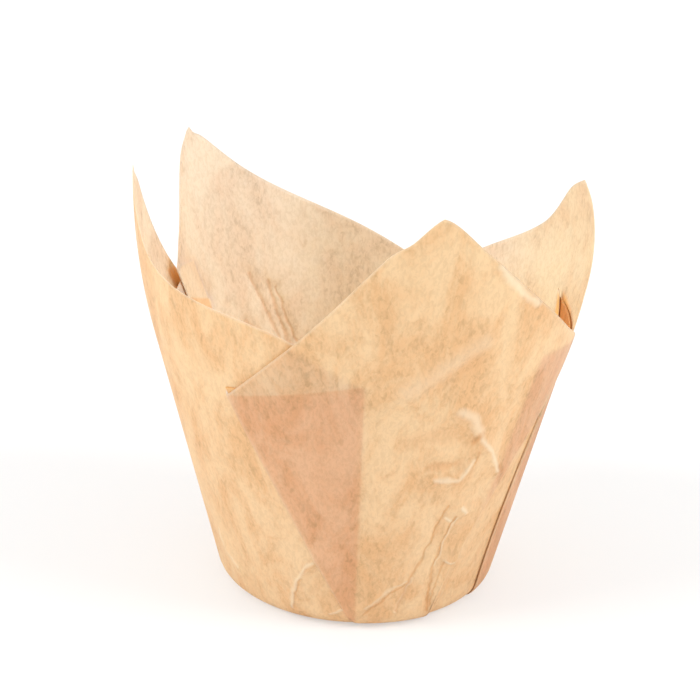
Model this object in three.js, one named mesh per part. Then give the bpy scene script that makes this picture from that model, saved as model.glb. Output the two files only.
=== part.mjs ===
// Tulip baking cup: one square sheet of greaseproof paper, pressed round a former and folded.
// Millimetres and degrees, +Z up, origin at the centre of the underside of the base.
// Azimuth 0 faces -Y and grows towards +X. Slant is measured up the wall from the sharp base edge.
import * as THREE from 'three';

// Sheet and former
const paperThickness = 0.2;
const baseRadius = 25;
const baseFillet = 4;
const wallAngle = 14.25;

// Slant of each petal's tip, and the slant at which a petal starts to lean off the wall
const frontReach = 82.9;
const rightReach = 77.4;
const backReach = 79.5;
const leftReach = 80.3;
const leanStart = 48;
const leftLeanStart = 50;
const rightLeanStart = 60;

// Slant of the folds' upper ends
const frontLeftFold = 47;
const frontRightFold = 52.3;
const underFrontFold = 54;
const slitFold = 54.8;
const rightFold = 50;
const rightBackFold = 46.5;
const backRightFold = 47.5;
const backLeftFold = 55.8;
const backTuckFold = 55.5;
const mouthFold = 51;
const leftBackFold = 47;
const leftFrontFold = 53;

// Folds
const layerStep = 0.55;
const settleShare = 0.6;
const pleatMouth = 1.2;
const pleatRunIn = 12;
const turnShare = 0.44;
const mouthBend = 2.5;

// Mesh fineness
const wallRows = 13;
const filletRows = 3;
const turnSteps = 4;
const crossSteps = 3;

// Each panel runs from its start fold to its end fold. Levels count paper layers out from the former.
// A petal has a tip: its azimuth, its slant, and how far the paper leans off the wall there.
// An edge lifts off the sheet's straight side by a rise at each given share of its length.
// A panel that sinks is pushed in beside an open mouth.
// A panel reaches its end level at its settled share of the way across, or else at its end.
const panels = [
  {
    name: 'front',
    tip: { azimuth: 15.7, slant: frontReach, lean: -4, leanFrom: leanStart },
    startEdge: [{ share: 0.3, rise: 0.75 }, { share: 0.75, rise: 2.7 }],
    endEdge: [{ share: 0.25, rise: -0.6 }, { share: 0.8, rise: 0.5 }],
    startLevel: 1,
    endLevel: 3,
    sinks: 0,
    spread: 9,
  },
  {
    name: 'rightTuck',
    topEdge: [{ share: 0.35, rise: -2 }, { share: 0.8, rise: -7 }],
    startLevel: -1,
    endLevel: -1,
    sinks: 1,
    spread: 9,
  },
  {
    name: 'right',
    tip: { azimuth: 100.5, slant: rightReach, lean: -29, leanFrom: rightLeanStart },
    startEdge: [{ share: 0.25, rise: 0.5 }, { share: 0.7, rise: 2.8 }],
    endEdge: [{ share: 0.3, rise: 1.4 }, { share: 0.62, rise: 0.1 }, { share: 0.8, rise: 2.2 }],
    startLevel: 1,
    endLevel: 1,
    sinks: 0,
    spread: 8,
  },
  {
    name: 'back',
    tip: { azimuth: 229.5, slant: backReach, lean: -3, leanFrom: leanStart },
    startEdge: [{ share: 0.35, rise: 1.3 }, { share: 0.8, rise: -0.7 }],
    endEdge: [{ share: 0.2, rise: 1.2 }, { share: 0.62, rise: 5.5 }, { share: 0.85, rise: 4.2 }],
    startLevel: -1,
    endLevel: -1,
    sinks: 1,
    spread: 9,
  },
  {
    name: 'backTuck',
    topEdge: [],
    startLevel: 1,
    endLevel: 1,
    sinks: 1,
    spread: 3,
  },
  {
    name: 'left',
    tip: { azimuth: 274, slant: leftReach, lean: -16, leanFrom: leftLeanStart },
    startEdge: [{ share: 0.2, rise: 0 }, { share: 0.7, rise: 4.2 }],
    endEdge: [{ share: 0.22, rise: 3.5 }, { share: 0.75, rise: -3.5 }],
    startLevel: 3,
    endLevel: -1,
    settled: settleShare,
    sinks: 0,
    spread: 9,
  },
];

// Pleat i folds panel i back under or over panel i + 1. Both folds start from one point on the base edge.
// endFold closes the earlier panel and startFold opens the next one. A bend over 1 keeps a fold upright low down.
const pleats = [
  {
    apex: 31,
    firstTurn: 0.5,
    endFold: { azimuth: 77, slant: frontRightFold, bend: 1.6 },
    startFold: { azimuth: 51, slant: underFrontFold, bend: 0.6 },
  },
  {
    apex: 58,
    firstTurn: 0.44,
    endFold: { azimuth: 104.5, slant: slitFold, bend: 0.5 },
    startFold: { azimuth: 76, slant: rightFold, bend: 2.4 },
  },
  {
    apex: 156,
    firstTurn: 0.44,
    endFold: { azimuth: 166, slant: rightBackFold, bend: 1 },
    startFold: { azimuth: 146, slant: backRightFold, bend: 1 },
  },
  {
    apex: 225,
    firstTurn: 0.44,
    endFold: { azimuth: 251.2, slant: backLeftFold, bend: 1.5 },
    startFold: { azimuth: 239.6, slant: backTuckFold, bend: 2 },
  },
  {
    apex: 250,
    firstTurn: 0.44,
    endFold: { azimuth: 257, slant: mouthFold, bend: 1 },
    startFold: { azimuth: 234, slant: leftBackFold, bend: 1.2 },
  },
  {
    apex: 360,
    firstTurn: 0.44,
    endFold: { azimuth: 360.6, slant: leftFrontFold, bend: 1 },
    startFold: { azimuth: 322.5, slant: frontLeftFold, bend: 0.85 },
  },
];

// Where the inner layers of a pleat are pushed in and leave it open at the top
const mouths = [
  { azimuth: 104, slant: slitFold, width: 13, depth: 0.7 },
  { azimuth: 252, slant: backLeftFold, width: 13, depth: 1.7 },
];

const rad = THREE.MathUtils.degToRad;
const deg = THREE.MathUtils.radToDeg;
const lerp = THREE.MathUtils.lerp;
const slope = rad(wallAngle);
const apexToEdge = baseRadius / Math.sin(slope);
const filletInset = baseFillet * Math.tan((Math.PI / 2 - slope) / 2);
const upright = { curl: 1e-7, from: leanStart };

// Sides of the sheet run straight on the unrolled cone
function unroll(point, middle) {
  const reach = apexToEdge + point.slant;
  const turn = rad(point.azimuth - middle) * Math.sin(slope);
  return new THREE.Vector2(reach * Math.sin(turn), reach * Math.cos(turn));
}

function reroll(flat, middle) {
  return {
    azimuth: middle + deg(Math.atan2(flat.x, flat.y)) / Math.sin(slope),
    slant: flat.length() - apexToEdge,
  };
}

function sideOfSheet(from, to, share) {
  const flat = unroll(from, to.azimuth).lerp(unroll(to, to.azimuth), share);
  return reroll(flat, to.azimuth);
}

// Lift of an edge at a share of its length, from one given rise to the next
function edgeLift(edge, share) {
  const points = [{ share: 0, rise: 0 }, ...edge, { share: 1, rise: 0 }];
  const next = points.findIndex((point, i) => i > 0 && share <= point.share);
  const low = points[next - 1];
  const high = points[next];
  return lerp(low.rise, high.rise, THREE.MathUtils.smoothstep(share, low.share, high.share));
}

// How far an open mouth pushes its inner layers in
function mouthDepth(azimuth, slant) {
  let total = 0;
  for (const mouth of mouths) {
    const turn = THREE.MathUtils.euclideanModulo(azimuth - mouth.azimuth + 180, 360) - 180;
    const rise = Math.max(slant, 0) / mouth.slant;
    total += mouth.depth * Math.exp(-((turn / mouth.width) ** 2)) * rise ** mouthBend;
  }
  return total;
}

// Section of the wall: flat base, fillet, straight cone, then a steady bend towards a petal's lean
function wallPoint(slant, bend) {
  if (slant < filletInset) {
    const turn = Math.max(0, (slant / filletInset + 1) / 2) * (Math.PI / 2 - slope);
    return {
      radius: baseRadius - filletInset + baseFillet * Math.sin(turn),
      height: baseFillet * (1 - Math.cos(turn)),
      angle: Math.PI / 2 - turn,
    };
  }
  const straight = Math.min(slant, bend.from);
  const angle = slope + bend.curl * Math.max(slant - bend.from, 0);
  return {
    radius: baseRadius + straight * Math.sin(slope) + (Math.cos(slope) - Math.cos(angle)) / bend.curl,
    height: straight * Math.cos(slope) + (Math.sin(angle) - Math.sin(slope)) / bend.curl,
    angle,
  };
}

function foldAzimuth(pleat, fold, slant) {
  const rise = THREE.MathUtils.clamp(slant / fold.slant, 0, 1);
  return pleat.apex + (fold.azimuth - pleat.apex) * rise ** fold.bend;
}

// How far the layers have opened out round the base fillet
function opened(slant) {
  return THREE.MathUtils.clamp((slant / filletInset + 1) / 2, 0, 1);
}

// Turns the section of a pleat into points along its Z: out to one fold, back, and on again
function pleatTurns(width, drop, firstTurn) {
  const both = turnShare * Math.abs(drop);
  const reach = Math.hypot(Math.abs(drop) - both, width);
  const swing = Math.atan2(width, Math.abs(drop) - both) + Math.acos(THREE.MathUtils.clamp(-both / reach, -1, 1));
  const first = both * firstTurn;
  const second = both - first;
  const straight = (Math.abs(drop) - both * (1 - Math.cos(swing))) / Math.sin(swing);
  const side = Math.sign(drop);
  const turns = [];
  for (let i = 0; i <= turnSteps; i++) {
    const turn = (swing * i) / turnSteps;
    turns.push({ along: first * Math.sin(turn), out: side * first * (1 - Math.cos(turn)), turn: side * turn });
  }
  const corner = turns[turnSteps];
  for (let i = 1; i < crossSteps; i++) {
    const run = (straight * i) / crossSteps;
    turns.push({
      along: corner.along + run * Math.cos(swing),
      out: corner.out + side * run * Math.sin(swing),
      turn: side * swing,
    });
  }
  const start = {
    along: corner.along + straight * Math.cos(swing),
    out: corner.out + side * straight * Math.sin(swing),
  };
  for (let i = 0; i <= turnSteps; i++) {
    const turn = (swing * (turnSteps - i)) / turnSteps;
    turns.push({
      along: start.along + second * (Math.sin(swing) - Math.sin(turn)),
      out: start.out + side * second * (Math.cos(turn) - Math.cos(swing)),
      turn: side * turn,
    });
  }
  return turns;
}

// Columns of the sheet, once round the cup. Each gives its top slant and a place for any share of it.
const columns = [];

function addPanel(index) {
  const panel = panels[index];
  const before = pleats[(index + pleats.length - 1) % pleats.length];
  const after = pleats[index];
  const wrap = index === 0 ? 360 : 0;
  const start = { azimuth: before.startFold.azimuth - wrap, slant: before.startFold.slant };
  const end = after.endFold;
  const along = (from, to, edge, i) => {
    const point = sideOfSheet(from, to, i / panel.spread);
    return { azimuth: point.azimuth, slant: point.slant + edgeLift(edge, i / panel.spread) };
  };
  const top = [];
  for (let i = 1; i < panel.spread; i++) {
    if (panel.tip === undefined) top.push(along(start, end, panel.topEdge, i));
    else top.push(along(start, panel.tip, panel.startEdge, i));
  }
  let bend = upright;
  if (panel.tip !== undefined) {
    top.push(panel.tip);
    for (let i = panel.spread - 1; i > 0; i--) top.push(along(end, panel.tip, panel.endEdge, i));
    bend = { curl: rad(panel.tip.lean) / (panel.tip.slant - panel.tip.leanFrom), from: panel.tip.leanFrom };
  }
  for (const edge of top) {
    const share = (edge.azimuth - start.azimuth) / (end.azimuth - start.azimuth);
    const foldBend = lerp(before.startFold.bend, after.endFold.bend, share);
    const low = lerp(before.apex - wrap, after.apex, share);
    const out = lerp(panel.startLevel, panel.endLevel, Math.min(share / (panel.settled ?? 1), 1)) * layerStep;
    columns.push({
      topSlant: edge.slant,
      bend,
      place(slant) {
        const rise = Math.max(slant / edge.slant, 0);
        const azimuth = low + (edge.azimuth - low) * rise ** lerp(1, foldBend, (2 * share - 1) ** 2);
        return { azimuth, out: out - panel.sinks * mouthDepth(azimuth, slant), turn: 0 };
      },
    });
  }
}

function addPleat(index) {
  const pleat = pleats[index];
  const earlier = panels[index];
  const next = panels[(index + 1) % panels.length];
  const sunk = earlier.sinks * next.sinks;
  const count = 2 * turnSteps + crossSteps + 1;
  for (let i = 0; i < count; i++) {
    const share = THREE.MathUtils.clamp((i - turnSteps / 2) / (count - 1 - turnSteps), 0, 1);
    const topSlant = lerp(pleat.endFold.slant, pleat.startFold.slant, share);
    columns.push({
      topSlant,
      bend: upright,
      place(slant) {
        const rise = Math.max(slant / topSlant, 0);
        const radius = wallPoint(slant, upright).radius;
        const mouth = (pleatMouth / 2) * (1 - Math.min(Math.max(slant, 0) / pleatRunIn, 1));
        const first = rad(foldAzimuth(pleat, pleat.endFold, rise * pleat.endFold.slant)) * radius - mouth;
        const second = rad(foldAzimuth(pleat, pleat.startFold, rise * pleat.startFold.slant)) * radius + mouth;
        const fromSink = (earlier.sinks - sunk) * mouthDepth(deg(first / radius), slant);
        const toSink = (next.sinks - sunk) * mouthDepth(deg(second / radius), slant);
        const from = earlier.endLevel * layerStep - fromSink;
        const to = next.startLevel * layerStep - toSink;
        const at = pleatTurns(first - second, to - from, pleat.firstTurn)[i];
        const azimuth = deg((first + at.along) / radius);
        return { azimuth, out: from + at.out - sunk * mouthDepth(azimuth, slant), turn: at.turn };
      },
    });
  }
}

panels.forEach((panel, index) => {
  addPanel(index);
  addPleat(index);
});

// One point of the sheet's outer or inner face
function facePoint(column, slant, side) {
  const place = column.place(slant);
  const wall = wallPoint(slant, column.bend);
  const azimuth = rad(place.azimuth);
  const outward = new THREE.Vector3(Math.sin(azimuth), -Math.cos(azimuth), 0);
  const along = new THREE.Vector3(Math.cos(azimuth), Math.sin(azimuth), 0);
  const off = outward.clone().multiplyScalar(Math.sin(Math.PI / 2 - wall.angle));
  off.z = -Math.sin(wall.angle);
  const open = opened(slant);
  const face = off.clone().multiplyScalar(Math.cos(place.turn * open));
  face.addScaledVector(along, -Math.sin(place.turn * open));
  const point = outward.multiplyScalar(wall.radius);
  point.z = wall.height + paperThickness / 2;
  point.addScaledVector(off, place.out * open);
  return point.addScaledVector(face, (side * paperThickness) / 2);
}

function sheetGeometry() {
  const positions = [];
  const indices = [];
  const rows = wallRows + filletRows;
  const across = columns.length;
  for (const side of [1, -1]) {
    for (let row = 0; row <= rows; row++) {
      for (const column of columns) {
        const slant =
          row <= wallRows
            ? lerp(column.topSlant, filletInset, row / wallRows)
            : lerp(filletInset, -filletInset, (row - wallRows) / filletRows);
        positions.push(...facePoint(column, slant, side).toArray());
      }
    }
    positions.push(0, 0, ((1 - side) * paperThickness) / 2);
  }
  const perFace = (rows + 1) * across + 1;
  const at = (face, row, column) => face * perFace + row * across + (column % across);
  const quad = (a, b, c, d) => indices.push(a, b, c, a, c, d);
  for (let column = 0; column < across; column++) {
    for (let row = 0; row < rows; row++) {
      quad(at(0, row, column), at(0, row + 1, column), at(0, row + 1, column + 1), at(0, row, column + 1));
      quad(at(1, row, column), at(1, row, column + 1), at(1, row + 1, column + 1), at(1, row + 1, column));
    }
    indices.push(at(0, rows, column), perFace - 1, at(0, rows, column + 1));
    indices.push(at(1, rows, column), at(1, rows, column + 1), 2 * perFace - 1);
    quad(at(0, 0, column), at(0, 0, column + 1), at(1, 0, column + 1), at(1, 0, column));
  }
  const geometry = new THREE.BufferGeometry();
  geometry.setAttribute('position', new THREE.Float32BufferAttribute(positions, 3));
  geometry.setIndex(indices);
  geometry.computeVertexNormals();
  return geometry;
}

const greaseproofPaper = new THREE.MeshStandardMaterial({
  color: 0xf3c99a,
  roughness: 0.62,
  metalness: 0,
  side: THREE.DoubleSide,
});

const cup = new THREE.Mesh(sheetGeometry(), greaseproofPaper);
cup.name = 'tulip_cup';

const part = new THREE.Group();
part.add(cup);

export default part;
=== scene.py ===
import math

import bpy
import numpy as np
from mathutils import Matrix, Vector


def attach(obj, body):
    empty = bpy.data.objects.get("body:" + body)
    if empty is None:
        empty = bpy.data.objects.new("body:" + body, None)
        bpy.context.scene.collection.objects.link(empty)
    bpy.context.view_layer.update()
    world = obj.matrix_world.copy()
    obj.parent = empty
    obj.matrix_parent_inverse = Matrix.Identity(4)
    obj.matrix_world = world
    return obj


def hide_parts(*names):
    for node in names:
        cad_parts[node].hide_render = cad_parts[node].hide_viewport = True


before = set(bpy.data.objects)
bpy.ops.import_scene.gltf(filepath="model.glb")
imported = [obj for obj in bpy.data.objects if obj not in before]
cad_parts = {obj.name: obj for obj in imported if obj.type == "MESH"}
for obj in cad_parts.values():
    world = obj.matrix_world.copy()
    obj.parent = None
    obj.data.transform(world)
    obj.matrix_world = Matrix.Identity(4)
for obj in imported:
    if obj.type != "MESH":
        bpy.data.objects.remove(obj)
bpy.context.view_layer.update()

millimetre = 0.001

# The cup, in millimetres and degrees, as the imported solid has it: azimuth 0 faces -Y and grows
# towards +X, slant is measured up the wall from the sharp base edge.
cup = {
    "paperThickness": 0.1,
    "baseRadius": 25.0,
    "baseFillet": 4.0,
    "wallAngle": 14.25,
    "layerStep": 0.22,
    "pleatMouth": 0.8,
    "pleatRunIn": 14.0,
    "turnShare": 0.44,  # of a pleat's depth, taken by its two rounded folds
    "mouthBend": 2.5,
    "waveBluntness": 0.15,
    "columnWidth": 0.95,  # of the mesh, at the top of a panel
    "pleatSpread": 1.5,  # times wider columns in a pleat's middle layer
    "rowHeight": 1.0,
    "filletRows": 6,
    "turnSteps": 5,
}
noLean = 100.0  # millimetres of slant, above every petal

# Panels and pleats in turn round the cup. Levels count paper layers out from the former, from a
# panel's start to its end or to the share of its width where it has settled, and sinks says whether
# a panel is pushed in beside an open mouth. A tip has its azimuth, its slant, how many degrees it
# leans off the wall and the slant at which the lean starts. An edge lifts off the sheet's straight
# side by so many millimetres at each given share of its length.
panels = [
    {"name": "front", "tip": (15.2, 84.8, -4.0, 48.0), "levels": (1, 3), "sinks": False,
     "rounding": 4.2, "startEdge": ((0.3, 0.35), (0.75, 1.5), (0.88, -0.2)),
     "endEdge": ((0.25, -0.95), (0.8, -0.9))},
    {"name": "rightTuck", "tip": None, "levels": (-1, -1), "sinks": True,
     "topEdge": ((0.35, -2.0), (0.8, -7.0))},
    {"name": "right", "tip": (100.5, 77.9, -29.0, 60.0), "levels": (1, 1), "sinks": False,
     "rounding": 2.6, "startEdge": ((0.25, 0.5), (0.7, 2.8)),
     "endEdge": ((0.3, 1.4), (0.62, 0.1), (0.8, 2.2))},
    {"name": "back", "tip": (229.5, 79.7, -3.0, 48.0), "levels": (-1, -1), "sinks": True,
     "rounding": 1.6, "startEdge": ((0.35, 1.3), (0.8, -0.7)),
     "endEdge": ((0.2, 1.2), (0.62, 5.5), (0.85, 4.2))},
    {"name": "backTuck", "tip": None, "levels": (1, 1), "sinks": True, "topEdge": ()},
    {"name": "left", "tip": (274.0, 80.3, -16.0, 50.0), "levels": (3, -1), "settled": 0.6,
     "sinks": False, "rounding": 1.4, "startEdge": ((0.2, 0.0), (0.7, 4.2)),
     "endEdge": ((0.22, 3.5), (0.75, -3.5))},
]

# A pleat runs up from its apex on the base edge. endFold closes the earlier panel and startFold
# opens the next: azimuth, slant, bend. firstTurn is the first fold's share of the rounding.
pleats = [
    {"apex": 31.0, "firstTurn": 0.5, "endFold": (77.0, 52.3, 1.6), "startFold": (51.0, 54.0, 0.6)},
    {"apex": 58.0, "firstTurn": 0.44, "endFold": (104.5, 54.8, 0.5), "startFold": (76.0, 50.0, 2.4)},
    {"apex": 156.0, "firstTurn": 0.44, "endFold": (166.0, 46.5, 1.0), "startFold": (146.0, 47.5, 1.0)},
    {"apex": 225.0, "firstTurn": 0.44, "endFold": (251.2, 55.8, 1.5), "startFold": (239.6, 55.5, 2.0)},
    {"apex": 250.0, "firstTurn": 0.44, "endFold": (257.0, 51.0, 1.0), "startFold": (234.0, 47.0, 1.2)},
    {"apex": 360.0, "firstTurn": 0.44, "endFold": (360.6, 53.0, 1.0), "startFold": (322.5, 47.0, 0.85)},
]

# Mouths: where the inner layers of a pleat are pushed in and leave it open at the top
mouths = [
    {"azimuth": 104.0, "slant": 54.8, "width": 13.0, "depth": 0.7},
    {"azimuth": 252.0, "slant": 55.8, "width": 13.0, "depth": 1.7},
]

# Soft folds of handled paper, in the mesh: a path of azimuth and slant, how far the paper stands
# out along it, and how wide it is
waves = [
    {"path": ((27, 46.4), (30, 45), (34, 41), (40, 36.5), (44, 32)), "rise": 0.8, "width": 1.2},
    {"path": ((22, 33), (29, 32.5), (32, 34.5), (33.5, 38)), "rise": 0.7, "width": 1.1},
    {"path": ((20, 35.7), (28, 36)), "rise": -0.5, "width": 1.2},
    {"path": ((30, 26.5), (36, 25)), "rise": 0.5, "width": 1.0},
    {"path": ((32, 15.5), (35, 13.8), (38, 14.5)), "rise": 0.5, "width": 1.0},
    {"path": ((28, 26), (24.5, 19), (19, 11), (16, 4)), "rise": -0.4, "width": 0.9},
    {"path": ((32, 24), (29, 17), (27.8, 11), (29, 3)), "rise": -0.5, "width": 0.9},
    {"path": ((31.5, 25), (28, 19), (24, 10)), "rise": 0.4, "width": 1.0},
    {"path": ((18, 11), (13, 10), (6, 6.5), (-2, 3.5)), "rise": 0.4, "width": 1.0},
    {"path": ((-25, 3.5), (-24, 7.5), (-21, 11), (-15.5, 15)), "rise": 0.45, "width": 1.0},
    {"path": ((-60, 13), (-57.5, 10.4), (-52, 7)), "rise": 0.5, "width": 0.9},
    {"path": ((28, 60.2), (23.4, 58.2), (18.7, 55.3), (14, 53), (7, 51)), "rise": 0.8, "width": 2.4},
    {"path": ((27, 56.7), (20, 53.4)), "rise": -0.6, "width": 2.0},
    {"path": ((12, 40.8), (19, 42.5), (25, 41.5)), "rise": -0.6, "width": 2.4},
    {"path": ((12, 62), (2, 55)), "rise": 0.4, "width": 3.0},
    {"path": ((-142.7, 49.8), (-146, 44.8), (-151.3, 36)), "rise": 0.6, "width": 0.9},
    {"path": ((-149, 47.6), (-151.3, 42), (-155, 34.7)), "rise": 0.7, "width": 0.8},
    {"path": ((-151.7, 46.4), (-154, 41), (-157, 35)), "rise": 0.4, "width": 0.8},
    {"path": ((-139, 40.7), (-144, 37)), "rise": 0.5, "width": 0.9},
    {"path": ((-45, 58), (-52, 48), (-60, 40)), "rise": -0.3, "width": 2.6},
]

# Thin creases, drawn by the paper's material as bumps with a painted highlight along the crests and
# painted shade in the grooves: a path of azimuth and slant, a width, a strength
outerCrests = [
    ((26.5, 46.6), (30, 45.4), (33, 42.2), 1.6, 0.9),
    ((33, 42.2), (36, 39.4), (39, 37.4), (42.2, 34.6), (43.7, 32.5), 0.8, 1.0),
    ((22.5, 33.1), (29.4, 32.6), (32, 34.2), (33.2, 36.3), 0.85, 0.9),
    ((33.5, 26), (35.9, 24.3), 0.6, 1.0),
    ((29, 24.2), (31.3, 23), 0.5, 0.9),
    ((31.5, 14.7), (34.7, 13.6), (38.1, 13.3), 0.45, 0.9),
    ((33, 23.6), (31.4, 20.8), (29.5, 17), (28.2, 13.4), 0.4, 0.7),
    ((3.9, 5.1), (9.3, 8), (13.8, 10.2), (18.4, 10.8), 0.5, 0.6),
    ((15.4, 3.6), (17.4, 7.3), (20, 11.4), 0.4, 0.6),
    ((334.8, 3.2), (336.1, 7.3), (338.9, 10.9), (344.4, 14.7), 0.65, 0.8),
    ((299.5, 14), (302.4, 10.4), (308, 7.5), 0.5, 0.7),
    ((350.1, 2.6), (356, 4.4), (359.8, 3.4), 0.45, 0.8),
    ((30, 73.4), (33.4, 70.6), (38, 67.6), (43, 65.4), 1.4, 1.0),
    ((28.5, 60.3), (18.7, 55.3), (11, 52), 3.2, 0.45),
]
outerGrooves = [
    ((28.6, 27), (26.7, 23.2), (24.6, 19.4), (22, 14.4), (19.2, 10.8), (15.8, 4), 0.4, 0.8),
    ((32.4, 24), (30.8, 21.3), (28.9, 17.1), (27.5, 13.4), (28.1, 8.7), (29.5, 2.6), 0.5, 0.9),
    ((31.5, 14.7), (30.7, 10.7), (30, 3.5), 0.35, 0.7),
    ((32.3, 40.2), (33.6, 41.4), 1.0, 0.9),
    ((44.6, 33.4), (46.8, 31.6), 1.0, 0.8),
    ((34.2, 35.6), (34.4, 38), 0.5, 0.8),
    ((20, 35.7), (28.5, 35.6), 1.2, 0.6),
    ((3.2, 3.6), (9.3, 6.9), (13.8, 9.1), (18, 10), 0.4, 0.7),
    ((335.7, 3.2), (337, 7), (339.8, 10.4), 0.35, 0.6),
    ((355.5, 5), (359, 2), 0.5, 0.8),
    ((12.1, 40.8), (18.8, 42.3), (24.9, 41.5), 3.0, 0.45),
    ((26.8, 56.7), (20.2, 53.4), 2.6, 0.3),
]
innerGrooves = [
    ((217.3, 49.8), (214, 44.8), (208.7, 36), 0.6, 0.7),
    ((210.9, 47.6), (208.7, 42.1), (205.1, 34.7), 0.7, 0.8),
    ((208.3, 46.4), (202.9, 35), 0.45, 0.7),
    ((220.9, 40.7), (215.8, 37.1), 0.6, 0.6),
    ((242, 56), (235, 50), 3.4, 0.4),
]

slope = math.radians(cup["wallAngle"])
apexToEdge = cup["baseRadius"] / math.sin(slope)
filletInset = cup["baseFillet"] * math.tan((math.pi / 2 - slope) / 2)


def turnBetween(azimuth, middle):
    return (azimuth - middle + 180) % 360 - 180


# The wall laid flat round its cone's apex: millimetres across from the middle, and out
def unroll(azimuth, slant, middle):
    reach = apexToEdge + slant
    turn = np.radians(azimuth - middle) * math.sin(slope)
    return np.array([reach * np.sin(turn), reach * np.cos(turn)])


def reroll(flat, middle):
    azimuth = middle + np.degrees(np.arctan2(flat[0], flat[1])) / math.sin(slope)
    return azimuth, np.hypot(flat[0], flat[1]) - apexToEdge


# A point on the straight side of the sheet between a fold's top and a petal's tip
def sideOfSheet(start, tip, share):
    flat = unroll(start[0], start[1], tip[0]) * (1 - share) + unroll(tip[0], tip[1], tip[0]) * share
    return reroll(flat, tip[0])


# Radius, height and angle off upright of the wall at each slant, with a steady bend above leanFrom
def wallPoint(slant, curl, leanFrom):
    slant = np.asarray(slant, float)
    turn = np.clip((slant / filletInset + 1) / 2, 0, 1) * (math.pi / 2 - slope)
    low = slant < filletInset
    straight = np.minimum(slant, leanFrom)
    beyond = np.maximum(slant - leanFrom, 0)
    curl = curl if abs(curl) > 1e-7 else 1e-7  # it divides, so it is never quite 0
    angle = slope + curl * beyond
    base, fillet = cup["baseRadius"], cup["baseFillet"]
    radius = base + straight * math.sin(slope) + (math.cos(slope) - np.cos(angle)) / curl
    height = straight * math.cos(slope) + (np.sin(angle) - math.sin(slope)) / curl
    radius = np.where(low, base - filletInset + fillet * np.sin(turn), radius)
    height = np.where(low, fillet * (1 - np.cos(turn)), height)
    angle = np.where(low, math.pi / 2 - turn, angle)
    return radius, height, angle


def foldAzimuth(pleat, fold, slant):
    rise = np.clip(slant / fold[1], 0, 1)
    return pleat["apex"] + (fold[0] - pleat["apex"]) * rise ** fold[2]


# Along, out and turn of a pleat's Z for arrays of its width and its drop from level to level.
# Position runs 0 to 1 round the first fold, to 2 over the middle layer, to 3 round the second fold
def pleatTurns(width, drop, firstTurn, position):
    both = cup["turnShare"] * np.abs(drop)
    reach = np.hypot(np.abs(drop) - both, width)
    swing = np.arctan2(width, np.abs(drop) - both) + np.arccos(np.clip(-both / reach, -1, 1))
    first, second = both * firstTurn, both * (1 - firstTurn)
    straight = (np.abs(drop) - both * (1 - np.cos(swing))) / np.sin(swing)
    side = np.sign(drop)
    if position <= 1:
        turn = swing * position
        return first * np.sin(turn), side * first * (1 - np.cos(turn)), side * turn
    cornerAlong, cornerOut = first * np.sin(swing), side * first * (1 - np.cos(swing))
    run = straight * min(position - 1, 1)
    along, out = cornerAlong + run * np.cos(swing), cornerOut + side * run * np.sin(swing)
    if position <= 2:
        return along, out, side * swing
    turn = swing * (3 - position)
    along = along + second * (np.sin(swing) - np.sin(turn))
    out = out + side * second * (np.cos(turn) - np.cos(swing))
    return along, out, side * turn


# How far an edge lifts at a share of its length, eased from one given point to the next
def edgeLift(edge, share):
    points = [(0.0, 0.0), *edge, (1.0, 0.0)]
    for (lowShare, low), (highShare, high) in zip(points, points[1:]):
        if share <= highShare:
            rise = (share - lowShare) / (highShare - lowShare)
            return low + (high - low) * rise * rise * (3 - 2 * rise)
    return 0.0


# How far an open mouth pushes its inner layers in
def mouthDepth(azimuth, slant):
    total = np.zeros_like(slant)
    for mouth in mouths:
        across = turnBetween(azimuth, mouth["azimuth"]) / mouth["width"]
        rise = (np.maximum(slant, 0) / mouth["slant"]) ** cup["mouthBend"]
        total += mouth["depth"] * np.exp(-across ** 2) * rise
    return total


# Azimuth and slant along a petal's outline, from its start fold over the tip to its end fold
def petalOutline(panel, start, end):
    tip, rounding = panel["tip"], panel["rounding"]
    outline = []
    for corner, edge in ((start, panel["startEdge"]), (end, panel["endEdge"])):
        length = float(np.hypot(*(unroll(*corner[:2], tip[0]) - unroll(*tip[:2], tip[0]))))
        radius = cup["baseRadius"] + tip[1] * math.sin(slope)
        across = math.radians(abs(tip[0] - corner[0])) * radius
        count = max(3, round(across / cup["columnWidth"]))
        side = []
        for step in range(1, count):
            share = step / count
            azimuth, slant = sideOfSheet(corner, tip, share)
            slant += edgeLift(edge, share)
            slant -= 0.5 * rounding * math.exp(-length * (1 - share) / rounding)
            side.append((azimuth, slant))
        if corner is start:
            outline += side + [(tip[0], tip[1] - 0.5 * rounding)]
        else:
            outline += side[::-1]
    return outline


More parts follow.
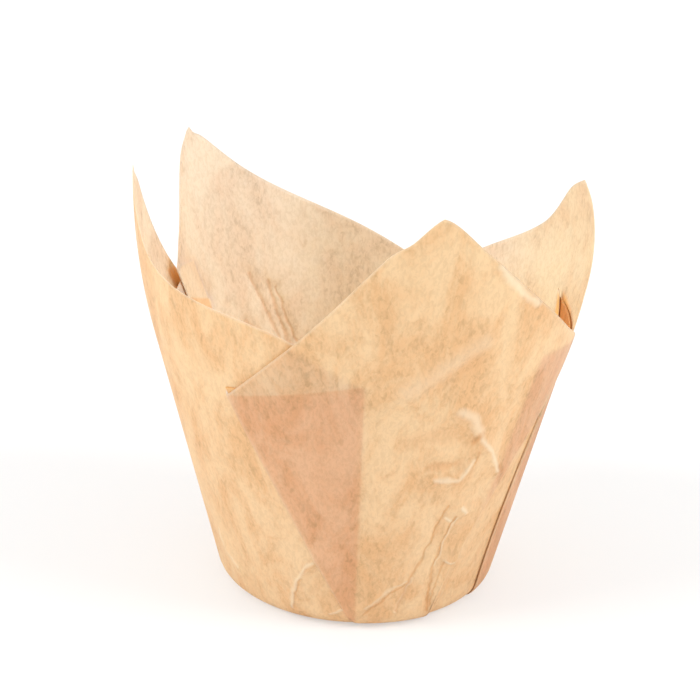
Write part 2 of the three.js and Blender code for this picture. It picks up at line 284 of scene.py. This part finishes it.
# The mesh columns of one panel, each from the paper's own edge down to the base
def panelColumns(index):
    panel, before, after = panels[index], pleats[index - 1], pleats[index]
    wrap = 360 if index == 0 else 0
    start = (before["startFold"][0] - wrap, before["startFold"][1])
    end = after["endFold"]
    if panel["tip"] is None:
        radius = cup["baseRadius"] + start[1] * math.sin(slope)
        width = math.radians(end[0] - start[0]) * radius
        count = max(2, round(width / cup["columnWidth"]))
        outline = []
        for step in range(1, count):
            azimuth, slant = sideOfSheet(start, end, step / count)
            outline.append((azimuth, slant + edgeLift(panel["topEdge"], step / count)))
        curl, leanFrom = 0.0, noLean
    else:
        outline = petalOutline(panel, start, end)
        leanFrom = panel["tip"][3]
        curl = math.radians(panel["tip"][2]) / (panel["tip"][1] - leanFrom)
    columns = []
    for azimuth, slant in outline:
        share = (azimuth - start[0]) / (end[0] - start[0])
        bend = before["startFold"][2] * (1 - share) + after["endFold"][2] * share
        settling = min(share / panel.get("settled", 1), 1)
        level = panel["levels"][0] * (1 - settling) + panel["levels"][1] * settling
        columns.append({
            "position": None,
            "top": slant,
            "curl": curl,
            "leanFrom": leanFrom,
            "azimuth": azimuth,
            "bend": 1 + (bend - 1) * (2 * share - 1) ** 2,
            "low": (before["apex"] - wrap) * (1 - share) + after["apex"] * share,
            "out": level * cup["layerStep"],
            "sinks": panel["sinks"],
            "innerHidden": level > 0 or panel["tip"] is None,
        })
    return columns


# The mesh columns of one pleat: its first rounded fold, its middle layer and its second fold
def pleatColumns(index):
    pleat, after = pleats[index], panels[(index + 1) % len(panels)]
    radius = cup["baseRadius"] + pleat["endFold"][1] * math.sin(slope)
    width = math.radians(pleat["endFold"][0] - pleat["startFold"][0]) * radius
    across = max(2, round(width / cup["columnWidth"] / cup["pleatSpread"]))
    turns = cup["turnSteps"]
    positions = [step / turns for step in range(turns)]
    positions += [1 + step / across for step in range(across)]
    positions += [2 + step / turns for step in range(turns + 1)]
    columns = []
    for position in positions:
        share = min(max((position - 0.5) / 2, 0), 1)
        columns.append({
            "position": position,
            "pleat": pleat,
            "top": pleat["endFold"][1] * (1 - share) + pleat["startFold"][1] * share,
            "curl": 0.0,
            "leanFrom": noLean,
            "from": panels[index]["levels"][1] * cup["layerStep"],
            "to": after["levels"][0] * cup["layerStep"],
            "sinks": (panels[index]["sinks"], after["sinks"]),
        })
    return columns


# Azimuth, offset off the wall and turn of the paper at each slant of one column
def placeColumn(column, slant):
    rise = np.maximum(slant / column["top"], 0)
    if column["position"] is None:
        azimuth = column["low"] + (column["azimuth"] - column["low"]) * rise ** column["bend"]
        out = column["out"] - column["sinks"] * mouthDepth(azimuth, slant)
        return azimuth, out, np.zeros_like(slant)
    pleat = column["pleat"]
    radius = wallPoint(slant, 0, noLean)[0]
    mouth = cup["pleatMouth"] / 2 * (1 - np.minimum(np.maximum(slant, 0) / cup["pleatRunIn"], 1))
    first, second = (np.radians(foldAzimuth(pleat, fold, rise * fold[1])) * radius
                     for fold in (pleat["endFold"], pleat["startFold"]))
    first, second = first - mouth, second + mouth
    sunk = all(column["sinks"])
    start, end = column["from"] + 0 * slant, column["to"] + 0 * slant
    if not sunk:
        start -= column["sinks"][0] * mouthDepth(np.degrees(first / radius), slant)
        end -= column["sinks"][1] * mouthDepth(np.degrees(second / radius), slant)
    along, out, turn = pleatTurns(first - second, end - start, pleat["firstTurn"],
                                  column["position"])
    azimuth = np.degrees((first + along) / radius)
    return azimuth, start + out - sunk * mouthDepth(azimuth, slant), turn


# Millimetres from each point to a straight run, both measured from the start of the run
def gapToRun(across, up, run):
    share = np.clip((across * run[0] + up * run[1]) / (run @ run), 0, 1)
    return np.hypot(across - share * run[0], up - share * run[1])


# How far soft folds push the wall outwards at each azimuth and slant
def waveOffset(azimuth, slant):
    total = np.zeros_like(slant)
    for wave in waves:
        nearest = np.full_like(slant, np.inf)
        for start, end in zip(wave["path"], wave["path"][1:]):
            middle = (start[1] + end[1]) / 2
            scale = math.radians(1) * (cup["baseRadius"] + middle * math.sin(slope))
            across = turnBetween(azimuth, start[0]) * scale
            run = np.array([(end[0] - start[0]) * scale, end[1] - start[1]])
            nearest = np.minimum(nearest, gapToRun(across, slant - start[1], run))
        width, blunt = wave["width"], cup["waveBluntness"]
        soft = np.sqrt(nearest ** 2 + blunt * width ** 2) - math.sqrt(blunt) * width
        total += wave["rise"] * np.exp(-soft / width)
    return total


# The paper's finish, with painted light and shade in some of its colours. Colours are linear, depths
# and grains are in metres and to the metre, and places on the cup are in degrees of azimuth and
# millimetres of slant
paper = {
    "outerColour": (0.94, 0.755, 0.512),
    "innerColour": (0.985, 0.97, 0.915),
    "edgeColour": (0.97, 0.84, 0.66),
    "edgeFade": (0.55, 0.1),  # millimetres from the cut edge where its colour starts and is full
    "edgeShare": 0.35,
    "foldShare": 0.25,  # how much of the edge's colour shows on a fold
    "outerStackShade": (0.92, 0.80, 0.71),  # painted shade where the paper lies three deep, outside
    # painted orange shade where the paper lies three deep, inside
    "innerStackShade": (1.0, 0.78, 0.55),
    "stackFade": 0.3,  # millimetres either side of a stack's edge
    # Painted shade on the inside of the back wall, behind the front petal
    "backShadeTint": (0.89, 0.86, 0.79),
    "backPlace": (150, 205, 18),  # the azimuths it lies between, and how wide it fades out
    "warmTint": (0.985, 0.965, 0.86),
    "warmPlace": (100, 32),  # the azimuth of its middle, and its half width
    "pocketShade": (1.0, 0.75, 0.38),  # painted orange shade inside the pleats
    "pocketPlace": (15, 14),  # the slant where it starts, and how far up it takes to be full
    # Painted highlight along crests, partly paper lightened where its fibres broke, and painted shade
    # in grooves
    "crestHighlightColour": (1.0, 0.93, 0.78),
    "crestHighlightShare": 0.65,
    "grooveShadeTint": (0.86, 0.68, 0.50),
    "grooveShadeShare": 0.75,
    "creaseMargin": 1.8,  # millimetres beside a drawn crease that still have its material
    "creaseWander": 1.2,  # millimetres, from side to side, that a drawn crease strays
    "creaseWanders": 420,  # how often, to the metre
    "speckTint": (0.80, 0.78, 0.71),
    "fibreShare": 0.6,  # how strong fibres are beside specks
    "cloudTint": (0.935, 0.825, 0.70),
    "pulpGrains": {  # grains to the metre, detail, and the heights where each starts and is full
        "Fibres": (1700, 2, 0.4, 0.64),
        "Specks": (1000, 2, 0.5, 0.66),
        "Clouds": (120, 5, 0.36, 0.66),
    },
    "pulpStretch": (1, 1, 0.55),
    "pulpRoughness": 0.65,
    "pulpDistortion": 0.6,
    "dentGrain": (110, 3, 0.0012),  # to the metre, detail, depth
    "fineGrain": (1100, 2, 0.00005),
    "dentStrength": 0.5,
    "creaseDepth": 0.00012,
    "glowTint": (1.0, 0.90, 0.71),  # of light that comes through
    "letThrough": 0.45,
    "specular": 0.5,
    "roughness": 0.4,
}
farOutside = -50.0  # a mark's value in the middle of the base, far from every stack and edge


# Millimetres inside the folded-over stack of each alternate pleat, below zero outside it
def stackDepth(azimuth, slant, first):
    depth = np.full_like(slant, farOutside)
    radius = cup["baseRadius"] + slant * math.sin(slope)
    for pleat in pleats[first::2]:
        start, end = pleat["startFold"], pleat["endFold"]
        middle = (end[0] + start[0]) / 2
        here = middle + turnBetween(azimuth, middle)
        fromStart = np.radians(here - foldAzimuth(pleat, start, slant)) * radius
        fromEnd = np.radians(foldAzimuth(pleat, end, slant) - here) * radius
        share = (here - start[0]) / (end[0] - start[0])
        top = start[1] * (1 - share) + end[1] * share
        depth = np.maximum(depth, np.minimum(np.minimum(fromStart, fromEnd), top - slant))
    return depth


# The azimuths down one column, and its points on the outer face (1) and on the inner face (-1)
def columnFaces(column, slant):
    azimuth, out, turn = placeColumn(column, slant)
    radius, height, angle = wallPoint(slant, column["curl"], column["leanFrom"])
    opened = np.clip((slant / filletInset + 1) / 2, 0, 1)
    around = np.radians(azimuth)
    outward = np.stack([np.sin(around), -np.cos(around), 0 * around], -1)
    along = np.stack([np.cos(around), np.sin(around), 0 * around], -1)
    off = outward * np.cos(angle)[:, None]
    off[:, 2] = -np.sin(angle)
    bend = (turn * opened)[:, None]
    normal = off * np.cos(bend) - along * np.sin(bend)
    point = outward * radius[:, None]
    point += off * ((out + waveOffset(azimuth, slant)) * opened)[:, None]
    point[:, 2] += height + cup["paperThickness"] / 2
    return azimuth, {side: point + normal * side * cup["paperThickness"] / 2 for side in (1, -1)}


# What the paper's materials read at each point of a column, the same on both faces. The last
# pleat ends past 360 degrees, so its second half is laid flat beside the front panel
def columnMarks(column, slant, azimuth):
    position = column["position"]
    pastFront = position is not None and column["pleat"] is pleats[-1] and position > 1.5
    flat = unroll(azimuth - 360 * pastFront, slant, 0)
    onFold = position is not None and not 1 < position < 2
    backFrom, backTo, backFade = paper["backPlace"]
    warmMiddle, warmWidth = paper["warmPlace"]
    return {
        "stackFirst": stackDepth(azimuth, slant, 0),
        "stackSecond": stackDepth(azimuth, slant, 1),
        "fromEdge": column["top"] - slant,
        "foldTurn": np.full_like(slant, onFold),
        "sheetAcross": flat[0],
        "sheetUp": flat[1],
        "backShade": np.clip((backTo - azimuth) / backFade, 0, 1) * (azimuth > backFrom),
        "rightWarmth": np.exp(-(turnBetween(azimuth, warmMiddle) / warmWidth) ** 4),
    }


# How much painted orange shade of the pockets each point of a column has on one of its faces
def pocketShare(column, slant, stacked, side):
    if column["position"] is None:
        return stacked * (column["innerHidden"] == (side < 0))
    start, fade = paper["pocketPlace"]
    return np.clip((slant - start) / fade, 0, 1) * (1 <= column["position"] <= 2)


# Both faces of the whole sheet, with the marks of each column and its share of painted orange shade
def paperGrid():
    columns = []
    for index in range(len(panels)):
        columns += panelColumns(index) + pleatColumns(index)
    wallRows = round(max(column["top"] for column in columns) / cup["rowHeight"])
    low = np.linspace(filletInset, -filletInset, cup["filletRows"] + 1)[1:]
    faces, pockets, marks = {1: [], -1: []}, {1: [], -1: []}, {}
    for column in columns:
        up = np.linspace(column["top"], filletInset, wallRows + 1)
        slant = np.concatenate([up, low])
        azimuth, points = columnFaces(column, slant)
        here = columnMarks(column, slant, azimuth)
        for name, values in here.items():
            marks.setdefault(name, []).append(values)
        stacked = np.clip(np.maximum(here["stackFirst"], here["stackSecond"]), 0, 1)
        for side in faces:
            faces[side].append(points[side])
            pockets[side].append(pocketShare(column, slant, stacked, side))
    return faces, marks, pockets


# The straight runs of each drawn crease on the flat sheet, with its width and its strength
def creaseRuns(lines):
    for *path, width, strength in lines:
        flat = [unroll(azimuth, slant, 0) for azimuth, slant in path]
        for start, end in zip(flat, flat[1:]):
            yield start, end - start, width, strength


# Whether any of the drawn creases runs close by each point of the grid
def nearCreases(across, up, lines):
    close = np.zeros(across.shape, bool)
    for start, run, width, _ in creaseRuns(lines):
        close |= gapToRun(across - start[0], up - start[1], run) < width + paper["creaseMargin"]
    return close


def addMark(mesh, name, values):
    mesh.attributes.new(name, "FLOAT", "POINT").data.foreach_set("value", values)


# One closed mesh: both faces, each with a fan of triangles over the base, and the cut edge.
# Material slots: 0 outer face, 1 inner face, 2 cut edge, 3 and 4 the creased parts of both faces
def buildCup():
    faces, marks, pockets = paperGrid()
    across, rows = len(faces[1]), len(faces[1][0])
    perFace = across * rows + 1
    points, polygons, slots = [], [], []
    for side in (1, -1):
        points += [np.concatenate(faces[side]), [[0, 0, cup["paperThickness"] * (1 - side) / 2]]]
    ring = np.arange(across)
    top, topBeside = ring * rows, (ring + 1) % across * rows
    row = np.arange(rows - 1)
    here, beside = top[:, None] + row, topBeside[:, None] + row
    quads = np.stack([here, here + 1, beside + 1, beside], -1).reshape(-1, 4)
    foot, footBeside = top + rows - 1, topBeside + rows - 1
    fan = np.stack([foot, np.full_like(ring, perFace - 1), footBeside], -1)
    rim = np.stack([top, topBeside, topBeside + perFace, top + perFace], -1)
    sheet = np.stack(marks["sheetAcross"]).ravel(), np.stack(marks["sheetUp"]).ravel()
    outerSlots = 3 * nearCreases(*sheet, outerCrests + outerGrooves)[quads].any(axis=1)
    innerSlots = 1 + 3 * nearCreases(*sheet, innerGrooves)[quads].any(axis=1)
    for slot, group in ((outerSlots, quads), (0, fan), (innerSlots, quads[:, ::-1] + perFace),
                        (1, fan[:, ::-1] + perFace), (2, rim)):
        polygons += group.tolist()
        slots += np.broadcast_to(slot, len(group)).tolist()
    mesh = bpy.data.meshes.new("tulipCupPaper")
    mesh.from_pydata((np.concatenate(points) * millimetre).tolist(), [], polygons)
    mesh.polygons.foreach_set("material_index", slots)
    mesh.polygons.foreach_set("use_smooth", [slot != 2 for slot in slots])
    for name, values in marks.items():
        atCentre = 0.0 if name == "foldTurn" else farOutside
        addMark(mesh, name, np.tile(np.append(np.concatenate(values), atCentre), 2))
    addMark(mesh, "pocket", np.concatenate([np.append(np.concatenate(pockets[side]), 0.0)
                                            for side in (1, -1)]))
    piece = bpy.data.objects.new("tulip_cup_paper", mesh)
    bpy.context.collection.objects.link(piece)
    triangles = sum(len(polygon) - 2 for polygon in polygons)
    print("panels:", ", ".join(panel["name"] for panel in panels))
    print("cup:", across, "columns,", rows, "rows,", triangles, "triangles")
    return piece


# Links a socket to another one, or gives it a plain value
def feed(tree, socket, value):
    if isinstance(value, bpy.types.NodeSocket):
        tree.links.new(value, socket)
    else:
        socket.default_value = value


def addNode(tree, kind, inputs=None, **settings):
    node = tree.nodes.new(kind)
    for name, value in settings.items():
        setattr(node, name, value)
    for name, value in (inputs or {}).items():
        feed(tree, node.inputs[name], value)
    return node


def addGroup(tree, group, inputs):
    return addNode(tree, "ShaderNodeGroup", inputs, node_tree=group).outputs


def newGroup(name, inputs, outputs):
    tree = bpy.data.node_groups.new(name, "ShaderNodeTree")
    for direction, sockets in (("INPUT", inputs), ("OUTPUT", outputs)):
        for label, kind in sockets.items():
            tree.interface.new_socket(name=label, in_out=direction, socket_type="NodeSocket" + kind)
    return tree, tree.nodes.new("NodeGroupInput").outputs, tree.nodes.new("NodeGroupOutput").inputs


def joined(tree, operation, first, second):
    return addNode(tree, "ShaderNodeMath", {0: first, 1: second}, operation=operation).outputs[0]


def scaled(tree, value, share):
    return joined(tree, "MULTIPLY", value, share)


def vectorJoined(tree, operation, first, second):
    node = addNode(tree, "ShaderNodeVectorMath", {0: first, 1: second}, operation=operation)
    return node.outputs["Value" if operation in ("DOT_PRODUCT", "DISTANCE") else "Vector"]


def grainHeight(tree, place, perMetre, detail, **more):
    return addNode(tree, "ShaderNodeTexNoise", {"Vector": place, "Scale": perMetre,
                                                "Detail": detail, **more}).outputs["Fac"]


def markOutput(tree, name):
    return addNode(tree, "ShaderNodeAttribute", attribute_name=name).outputs["Fac"]


# A soft step: 0 where the value is under low, 1 where it is over high
def softStep(tree, value, low, high):
    return addNode(tree, "ShaderNodeMapRange", {"Value": value, "From Min": low, "From Max": high},
                   interpolation_type="SMOOTHSTEP").outputs["Result"]


# Lays the second colour over the first by a factor; the node has its two colours at 6 and 7
def mixColour(tree, blend, factor, first, second):
    node = addNode(tree, "ShaderNodeMix", {0: factor}, data_type="RGBA", blend_type=blend)
    for index, colour in ((6, first), (7, second)):
        feed(tree, node.inputs[index], (*colour, 1) if isinstance(colour, tuple) else colour)
    return node.outputs[2]


# Mixes two shaders and puts the result out at the given last node
def mixShaders(tree, factor, first, second, lastNode):
    mix = addNode(tree, "ShaderNodeMixShader", {0: factor, 1: first.outputs[0],
                                                2: second.outputs[0]})
    tree.links.new(mix.outputs[0], tree.nodes[lastNode].inputs["Surface"])


# Fibres, specks and clouds of the pulp, from a place in metres
def makePulpGroup():
    grains = paper["pulpGrains"]
    tree, inputs, outputs = newGroup("pulp", {"Place": "Vector"}, dict.fromkeys(grains, "Float"))
    stretched = vectorJoined(tree, "MULTIPLY", inputs["Place"], paper["pulpStretch"])
    for label, (perMetre, detail, low, high) in grains.items():
        height = grainHeight(tree, stretched, perMetre, detail, Roughness=paper["pulpRoughness"],
                             Distortion=paper["pulpDistortion"])
        feed(tree, outputs[label], softStep(tree, height, low, high))
    return tree


# One straight piece of a crease. The state is a place on the flat sheet, and in its Z the greatest
# nearness so far, 0 to 1, to any piece
def makeCreaseGroup():
    given = {"State": "Vector", "Start": "Vector", "Run": "Vector", "Width": "Float",
             "Strength": "Float"}
    tree, inputs, outputs = newGroup("crease", given, {"State": "Vector"})
    parts = addNode(tree, "ShaderNodeSeparateXYZ", {0: inputs["State"]}).outputs
    flat = vectorJoined(tree, "MULTIPLY", inputs["State"], (1, 1, 0))
    gone = vectorJoined(tree, "SUBTRACT", flat, inputs["Start"])
    along = vectorJoined(tree, "DOT_PRODUCT", gone, inputs["Run"])
    whole = vectorJoined(tree, "DOT_PRODUCT", inputs["Run"], inputs["Run"])
    share = addNode(tree, "ShaderNodeMath", {0: along, 1: whole}, operation="DIVIDE",
                    use_clamp=True)
    foot = addNode(tree, "ShaderNodeVectorMath", {0: inputs["Run"], "Scale": share.outputs[0]},
                   operation="SCALE")
    gap = vectorJoined(tree, "DISTANCE", gone, foot.outputs[0])
    nearness = softStep(tree, joined(tree, "DIVIDE", gap, inputs["Width"]), 1.0, 0.0)
    felt = scaled(tree, nearness, inputs["Strength"])
    nearest = joined(tree, "MAXIMUM", felt, parts["Z"])
    state = addNode(tree, "ShaderNodeCombineXYZ", {"X": parts["X"], "Y": parts["Y"], "Z": nearest})
    feed(tree, outputs["State"], state.outputs[0])
    return tree


# Shallow dents and grain of handled paper with its creases, as a normal
def makeDentGroup():
    tree, inputs, outputs = newGroup("dents", {"Place": "Vector", "Strength": "Float",
                                               "Creases": "Float"}, {"Normal": "Vector"})
    normal = {}
    for perMetre, detail, depth in (paper["dentGrain"], paper["fineGrain"]):
        height = grainHeight(tree, inputs["Place"], perMetre, detail)
        bump = addNode(tree, "ShaderNodeBump", {"Height": height, "Distance": depth,
                                                "Strength": inputs["Strength"], **normal})
        normal = {"Normal": bump.outputs["Normal"]}
    creaseBump = addNode(tree, "ShaderNodeBump", {"Height": inputs["Creases"],
                                                  "Distance": paper["creaseDepth"], **normal})
    feed(tree, outputs["Normal"], creaseBump.outputs["Normal"])
    return tree


creaseGroup = makeCreaseGroup()
pulpGroup = makePulpGroup()
dentGroup = makeDentGroup()


# A place on the flat sheet in millimetres, a little uneven so that no crease is ruled
def sheetPlace(tree, place):
    flat = addNode(tree, "ShaderNodeCombineXYZ", {"X": markOutput(tree, "sheetAcross"),
                                                  "Y": markOutput(tree, "sheetUp")})
    noise = addNode(tree, "ShaderNodeTexNoise", {"Vector": place, "Scale": paper["creaseWanders"],
                                                 "Detail": 1})
    uneven = vectorJoined(tree, "SUBTRACT", noise.outputs["Color"], (0.5, 0.5, 0.5))
    wander = (paper["creaseWander"], paper["creaseWander"], 0)
    shift = vectorJoined(tree, "MULTIPLY", uneven, wander)
    return vectorJoined(tree, "ADD", flat.outputs[0], shift)


# The pieces of all creases in one chain, because many side by side are more than a shader holds
def creaseNearness(tree, place, lines):
    state = place
    for start, run, width, strength in creaseRuns(lines):
        state = addGroup(tree, creaseGroup, {"State": state, "Start": (*start, 0), "Run": (*run, 0),
                                             "Width": width, "Strength": strength})["State"]
    return addNode(tree, "ShaderNodeSeparateXYZ", {0: state}).outputs["Z"]


# Each side of the paper: its colour, how strong its specks and clouds are, the painted shade of paper
# that lies three deep, how much that shows in each of the two sets of pleats, how much light a stack
# stops, and whether it has the painted shades of the cup's inside
outerFace = {"colour": paper["outerColour"], "specks": 0.6, "clouds": 1.0,
             "stackShade": paper["outerStackShade"], "stackFirst": 0.15, "stackSecond": 0.65,
             "shield": 0.0, "inside": False}
innerFace = {"colour": paper["innerColour"], "specks": 0.65, "clouds": 0.4,
             "stackShade": paper["innerStackShade"], "stackFirst": 0.8, "stackSecond": 0.8,
             "shield": 0.4, "inside": True}
cutFace = {"colour": paper["edgeColour"], "specks": 0.0, "clouds": 0.0,
           "stackShade": paper["edgeColour"], "stackFirst": 0.0, "stackSecond": 0.0,
           "shield": 0.0, "inside": False}


def paperMaterial(name, face, crests, grooves):
    material = bpy.data.materials.new(name)
    material.use_nodes = True
    tree = material.node_tree

    def tinted(shade, share, tint, blend="MULTIPLY"):
        return mixColour(tree, blend, share, shade, tint)

    place = addNode(tree, "ShaderNodeTexCoord").outputs["Object"]
    pulp = addGroup(tree, pulpGroup, {"Place": place})
    patchy = joined(tree, "MULTIPLY", pulp["Specks"], pulp["Clouds"])
    fibres = scaled(tree, pulp["Fibres"], face["specks"] * paper["fibreShare"])
    shade = tinted(face["colour"], scaled(tree, pulp["Clouds"], face["clouds"]), paper["cloudTint"])
    shade = tinted(shade, scaled(tree, patchy, face["specks"]), paper["speckTint"])
    shade = tinted(shade, fibres, paper["speckTint"])
    # On the inside: painted shade on the back wall behind the front petal, and a yellower right petal
    if face["inside"]:
        shade = tinted(shade, markOutput(tree, "backShade"), paper["backShadeTint"])
        shade = tinted(shade, markOutput(tree, "rightWarmth"), paper["warmTint"])
    stacked = 0.0
    # Painted shade where the paper lies three deep
    for mark in ("stackFirst", "stackSecond"):
        inStack = softStep(tree, markOutput(tree, mark), -paper["stackFade"], paper["stackFade"])
        shade = tinted(shade, scaled(tree, inStack, face[mark]), face["stackShade"])
        stacked = joined(tree, "MAXIMUM", inStack, stacked)
    nearEdge = softStep(tree, markOutput(tree, "fromEdge"), *paper["edgeFade"])
    onFold = scaled(tree, markOutput(tree, "foldTurn"), paper["foldShare"])
    shade = tinted(shade, scaled(tree, nearEdge, paper["edgeShare"]), paper["edgeColour"], "MIX")
    shade = tinted(shade, onFold, paper["edgeColour"], "MIX")
    # Painted orange shade inside the pleats and on the hidden faces of stacks
    shade = tinted(shade, markOutput(tree, "pocket"), paper["pocketShade"])
    relief = 0.0
    if grooves:
        sheet = sheetPlace(tree, place)
        groove = creaseNearness(tree, sheet, grooves)
        crest = creaseNearness(tree, sheet, crests) if crests else 0.0
        # Painted highlight along the crests, partly lighter broken fibres, and painted shade in the
        # grooves
        shade = tinted(shade, scaled(tree, crest, paper["crestHighlightShare"]), paper["crestHighlightColour"], "MIX")
        shade = tinted(shade, scaled(tree, groove, paper["grooveShadeShare"]), paper["grooveShadeTint"])
        relief = joined(tree, "SUBTRACT", crest, groove)
    normal = addGroup(tree, dentGroup, {"Place": place, "Strength": paper["dentStrength"],
                                        "Creases": relief})["Normal"]
    shader = tree.nodes["Principled BSDF"]
    for label, value in (("Base Color", shade), ("Roughness", paper["roughness"]),
                         ("Specular IOR Level", paper["specular"]), ("Normal", normal)):
        feed(tree, shader.inputs[label], value)
    warm = tinted(shade, 1.0, paper["glowTint"])
    glow = addNode(tree, "ShaderNodeBsdfTranslucent", {"Color": warm, "Normal": normal})
    through = joined(tree, "SUBTRACT", paper["letThrough"], scaled(tree, stacked, face["shield"]))
    mixShaders(tree, through, shader, glow, "Material Output")
    return material


paperCup = buildCup()
for name, face, crests, grooves in (("outerPaper", outerFace, [], []),
                                    ("innerPaper", innerFace, [], []),
                                    ("cutEdge", cutFace, [], []),
                                    ("outerCreases", outerFace, outerCrests, outerGrooves),
                                    ("innerCreases", innerFace, [], innerGrooves)):
    paperCup.data.materials.append(paperMaterial(name, face, crests, grooves))
print("paper:", ", ".join(material.name for material in paperCup.data.materials))
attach(paperCup, "root")
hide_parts("tulip_cup")

# Floor, lamps and camera: degrees, and millimetres for the camera. A sun has the side it shines
# from and its strength
studio = {
    "floorColour": (0.9, 0.9, 0.9),
    "floorSide": 6,  # metres
    "floorPaleness": 0.45,  # how far the floor's shadow is lifted for the camera
    "worldStrength": 0.84,
    "suns": {"leftSun": ((-0.85, -0.35, 0.75), 1.3), "rightSun": ((0.85, -0.3, 0.75), 1.2)},
    "sunBlur": 25,
    "target": (-2.08, 0.0, 43.5),
    "cameraAway": 299.4,
    "cameraUp": 19.89,
    "cameraRoll": 1.51,
    "focalPixels": 1636.6,
    "imagePixels": 700,
}
white = (1, 1, 1, 1)


def makeFloor():
    bpy.ops.mesh.primitive_plane_add(size=studio["floorSide"], location=(0, 0, 0))
    floor = bpy.context.object
    floor.name = "floor"
    material = bpy.data.materials.new("paleFloor")
    material.use_nodes = True
    tree = material.node_tree
    shader = tree.nodes["Principled BSDF"]
    shader.inputs["Base Color"].default_value = (*studio["floorColour"], 1)
    shader.inputs["Roughness"].default_value = 1.0
    shader.inputs["Specular IOR Level"].default_value = 0.0
    pale = addNode(tree, "ShaderNodeEmission", {"Color": white, "Strength": 1.0})
    seen = addNode(tree, "ShaderNodeLightPath").outputs["Is Camera Ray"]
    mixShaders(tree, scaled(tree, seen, studio["floorPaleness"]), shader, pale, "Material Output")
    floor.data.materials.append(material)


def makeSun(name, side, strength):
    light = bpy.data.lights.new(name, "SUN")
    light.angle = math.radians(studio["sunBlur"])
    light.energy = strength
    lamp = bpy.data.objects.new(name, light)
    lamp.location = side
    lamp.rotation_euler = (-Vector(side)).to_track_quat("-Z", "Y").to_euler()
    bpy.context.collection.objects.link(lamp)


# White for the camera, for mirrors and through glass, and a dimmer white that lights the cup
def makeWorld():
    world = bpy.data.worlds.new("paleWorld")
    bpy.context.scene.world = world
    world.use_nodes = True
    tree = world.node_tree
    ambient = tree.nodes["Background"]
    ambient.inputs["Strength"].default_value = studio["worldStrength"]
    ambient.inputs["Color"].default_value = white
    backdrop = addNode(tree, "ShaderNodeBackground", {"Color": white, "Strength": 1.0})
    rays = addNode(tree, "ShaderNodeLightPath").outputs
    seen = joined(tree, "MAXIMUM", rays["Is Camera Ray"], rays["Is Glossy Ray"])
    seen = joined(tree, "MAXIMUM", seen, rays["Is Transmission Ray"])
    mixShaders(tree, seen, ambient, backdrop, "World Output")


def makeCamera():
    camera = bpy.data.cameras.new("camera")
    camera.sensor_width = 36
    camera.lens = studio["focalPixels"] / studio["imagePixels"] * camera.sensor_width
    camera.clip_start = 0.01
    holder = bpy.data.objects.new("camera", camera)
    bpy.context.collection.objects.link(holder)
    up = math.radians(studio["cameraUp"])
    away = studio["cameraAway"] * millimetre
    target = Vector(studio["target"]) * millimetre
    place = target + Vector((0, -math.cos(up), math.sin(up))) * away
    turn = Matrix.Rotation(math.radians(90 - studio["cameraUp"]), 4, "X")
    roll = Matrix.Rotation(math.radians(studio["cameraRoll"]), 4, "Z")
    holder.matrix_world = Matrix.Translation(place) @ turn @ roll
    bpy.context.scene.camera = holder


makeFloor()
for name, (side, strength) in studio["suns"].items():
    makeSun(name, side, strength)
makeWorld()
makeCamera()
bpy.context.scene.view_settings.view_transform = "Standard"
print("studio: floor,", len(studio["suns"]), "suns, world and camera")
